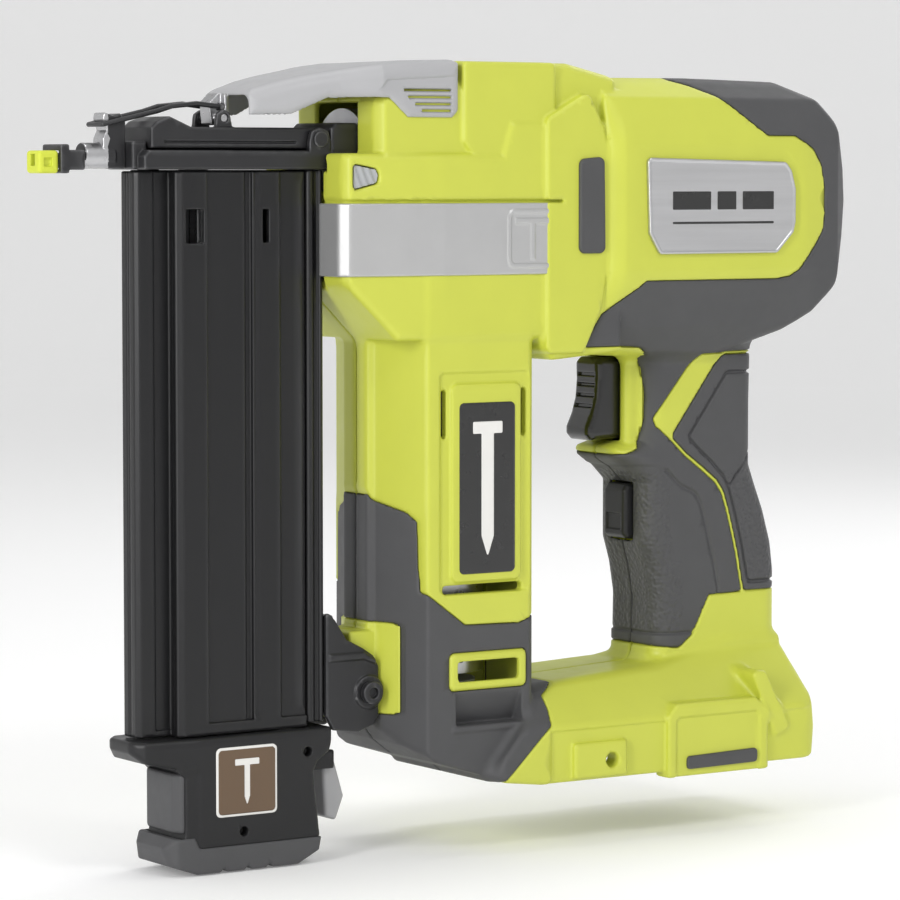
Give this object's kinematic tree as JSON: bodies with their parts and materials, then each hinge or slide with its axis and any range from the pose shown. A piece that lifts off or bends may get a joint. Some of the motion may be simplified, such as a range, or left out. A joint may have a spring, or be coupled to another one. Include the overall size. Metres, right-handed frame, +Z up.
{
  "type": "brad nailer",
  "caption": "Cordless brad nailer with a clamshell housing, pistol grip, upright motor tower, battery foot and a nail magazine under the nose that slides open.",
  "frame": {"origin": "centre of the bounding box in X and Y, at the underside of the rubber foot below the magazine", "axes": "+X from the nose to the back of the housing, +Y to the tool's right-hand side seen from behind the nose, +Z up; the clamshell seam is the plane Y = 0"},
  "size_m": [0.342, 0.08, 0.2922],
  "materials": {
    "green_plastic": "fine moulded texture",
    "grey_overmould": "soft matt",
    "black_plastic": "moulded, satin",
    "light_grey_plastic": "moulded, satin",
    "silver_paint": "silver, satin",
    "badge_plate": "brushed",
    "black_plate": "gloss",
    "clear_lens": "frosted",
    "black_steel": "black phosphate",
    "steel": "ground",
    "magazine_black": "black anodised",
    "aluminium": "as cast",
    "brass": "plain",
    "label_brown": "printed",
    "lime_rubber": "soft",
    "circuit_green": "solder resist",
    "copper": "enamelled windings"
  },
  "bodies": {
    "housing": {"housing_left": "green_plastic", "housing_right": "green_plastic", "grip_overmould_left": "grey_overmould", "grip_overmould_right": "grey_overmould", "tower_boot_left": "grey_overmould", "tower_boot_right": "grey_overmould", "rear_grip_pad": "grey_overmould", "top_cover": "light_grey_plastic", "side_bands": "silver_paint", "side_badges": "badge_plate", "label_plates": "black_plate", "rubber_bumpers": "grey_overmould", "led_lenses": "clear_lens", "drive_cylinder": "aluminium", "bumper": "grey_overmould", "cylinder_head": "aluminium", "compression_cylinder": "aluminium", "valve_solenoid": "copper", "gearbox_case": "aluminium", "motor_can": "steel", "shaft_bearings": "steel", "circuit_board": "circuit_green", "battery_terminals": "brass", "switches": "black_plastic", "trigger_spring": "steel", "nose_plate": "black_steel", "nose_piece": "black_steel", "magazine_rail": "magazine_black", "magazine_bracket": "black_steel", "bracket_bolt": "black_steel", "housing_screws": "steel", "contact_spring": "steel"},
    "trigger": {"trigger": "black_plastic"},
    "mode_button": {"mode_button": "black_plastic"},
    "contact_arm": {"contact_arm": "black_steel", "no_mar_tip": "lime_rubber"},
    "depth_wheel": {"depth_wheel": "black_steel"},
    "latch_lever": {"latch_lever": "black_steel"},
    "jam_door": {"jam_door": "black_steel"},
    "latch_wire": {"latch_wire": "black_steel"},
    "magazine_slide": {"magazine_cover": "magazine_black", "base_cap": "black_plastic", "base_label": "label_brown", "rubber_foot": "grey_overmould", "pusher_spring": "steel"},
    "release_lever": {"release_lever": "light_grey_plastic"},
    "nail_pusher": {"nail_pusher": "steel"},
    "driver": {"drive_piston": "aluminium", "driver_blade": "steel"},
    "compression_piston": {"compression_piston": "aluminium"},
    "connecting_rod": {"connecting_rod": "steel"},
    "motor_shaft": {"motor_rotor": "steel", "sun_gear": "steel", "cooling_fan": "light_grey_plastic"},
    "crank": {"planet_carrier": "steel", "crank_disc": "steel"},
    "planet_1": {"planet_gear_1": "steel"},
    "planet_2": {"planet_gear_2": "steel"},
    "planet_3": {"planet_gear_3": "steel"},
    "valve_spool": {"valve_spool": "steel"}
  },
  "joints": [
    {"name": "trigger_pull", "type": "slide", "parent": "housing", "child": "trigger", "axis": [1, 0, 0], "range_m": [0, 0.005], "stiffness_N_per_m": 900, "springref_m": -0.002, "deforming": ["trigger_spring"]},
    {"name": "mode_button_press", "type": "slide", "parent": "housing", "child": "mode_button", "axis": [1, 0, 0], "range_m": [0, 0.002], "stiffness_N_per_m": 800, "springref_m": -0.002},
    {"name": "contact_arm_press", "type": "slide", "parent": "housing", "child": "contact_arm", "axis": [1, 0, 0], "range_m": [0, 0.007], "stiffness_N_per_m": 600, "springref_m": -0.005, "deforming": ["contact_spring"]},
    {"name": "depth_wheel_turn", "type": "hinge", "parent": "contact_arm", "child": "depth_wheel", "pos_m": [-0.094, 0.022, 0.247], "axis": [1, 0, 0], "range_deg": [-180, 180]},
    {"name": "latch_lever_turn", "type": "hinge", "parent": "jam_door", "child": "latch_lever", "pos_m": [-0.0985, 0, 0.2705], "axis": [0, -1, 0], "range_deg": [0, 68]},
    {"name": "jam_door_turn", "type": "hinge", "parent": "housing", "child": "jam_door", "pos_m": [-0.0615, 0, 0.263], "axis": [0, 1, 0], "range_deg": [0, 6]},
    {"name": "latch_wire_turn", "type": "hinge", "parent": "latch_lever", "child": "latch_wire", "pos_m": [-0.098, 0, 0.2745], "axis": [0, 1, 0], "range_deg": [0, 75]},
    {"name": "magazine_open", "type": "slide", "parent": "housing", "child": "magazine_slide", "axis": [0, 0, -1], "range_m": [0, 0.15]},
    {"name": "release_lever_press", "type": "hinge", "parent": "magazine_slide", "child": "release_lever", "pos_m": [-0.056, 0, 0.036], "axis": [0, 1, 0], "range_deg": [0, 8], "stiffness_Nm_per_rad": 0.8, "springref_deg": -5.73},
    {"name": "pusher_travel", "type": "slide", "parent": "magazine_slide", "child": "nail_pusher", "axis": [0, 0, -1], "range_m": [0, 0.125], "stiffness_N_per_m": 60, "springref_m": -0.03, "deforming": ["pusher_spring"]},
    {"name": "driver_stroke", "type": "slide", "parent": "housing", "child": "driver", "axis": [-1, 0, 0], "range_m": [0, 0.084]},
    {"name": "compression_stroke", "type": "slide", "parent": "housing", "child": "compression_piston", "axis": [1, 0, 0], "range_m": [0, 0.036]},
    {"name": "connecting_rod_swing", "type": "hinge", "parent": "compression_piston", "child": "connecting_rod", "pos_m": [0.034, 0, 0.212], "axis": [0, 0, 1], "range_deg": [-14, 14]},
    {"name": "motor_spin", "type": "hinge", "parent": "housing", "child": "motor_shaft", "pos_m": [-0.008, 0, 0.1], "axis": [0, 0, 1], "continuous": true},
    {"name": "crank_spin", "type": "hinge", "parent": "housing", "child": "crank", "pos_m": [-0.008, 0, 0.17], "axis": [0, 0, 1], "continuous": true},
    {"name": "valve_shift", "type": "slide", "parent": "housing", "child": "valve_spool", "axis": [1, 0, 0], "range_m": [0, 0.004], "stiffness_N_per_m": 300, "springref_m": -0.003},
    {"name": "planet_1_spin", "type": "hinge", "parent": "crank", "child": "planet_1", "pos_m": [0.0052, 0, 0.159], "axis": [0, 0, 1], "continuous": true},
    {"name": "planet_2_spin", "type": "hinge", "parent": "crank", "child": "planet_2", "pos_m": [-0.0146, 0.01143, 0.159], "axis": [0, 0, 1], "continuous": true},
    {"name": "planet_3_spin", "type": "hinge", "parent": "crank", "child": "planet_3", "pos_m": [-0.0146, -0.01143, 0.159], "axis": [0, 0, 1], "continuous": true}
  ],
  "couplings": [
    {"joint": "crank_spin", "follows": "motor_spin", "ratio": 0.18182},
    {"joint": "planet_1_spin", "follows": "motor_spin", "ratio": -0.46753},
    {"joint": "planet_2_spin", "follows": "motor_spin", "ratio": -0.46753},
    {"joint": "planet_3_spin", "follows": "motor_spin", "ratio": -0.46753},
    {"joint": "jam_door_turn", "follows": "latch_lever_turn", "ratio": 0.088235},
    {"joint": "latch_wire_turn", "follows": "latch_lever_turn", "ratio": 1.1029}
  ]
}
